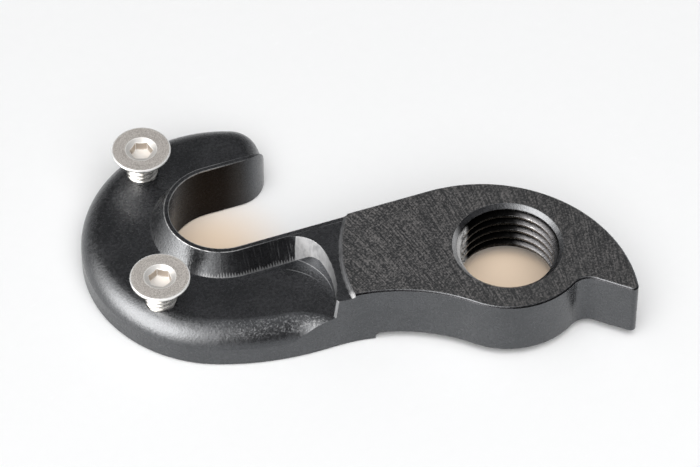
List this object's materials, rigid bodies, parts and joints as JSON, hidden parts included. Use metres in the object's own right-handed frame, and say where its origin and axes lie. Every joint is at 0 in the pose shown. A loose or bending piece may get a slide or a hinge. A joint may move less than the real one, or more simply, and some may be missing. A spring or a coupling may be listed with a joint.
{
  "type": "derailleur hanger",
  "caption": "Bicycle derailleur hanger: C-shaped plate round an open axle slot, sloping rib and seat for the frame, and an arm with a threaded derailleur hole and a stop tab.",
  "frame": {"origin": "on the axis of the derailleur bolt's hole, in the plane of the seat that the frame's dropout lies on", "axes": "+X along the axle slot towards its open end, +Y across the slot away from the arm, +Z out of the seat along the derailleur bolt's axis"},
  "size_m": [0.0469, 0.0361, 0.0075],
  "materials": {
    "hanger": "black anodised, satin",
    "mounting_screws": "bright, satin top"
  },
  "bodies": {
    "root": {"hanger": "hanger", "mounting_screws": "mounting_screws"}
  },
  "joints": []
}
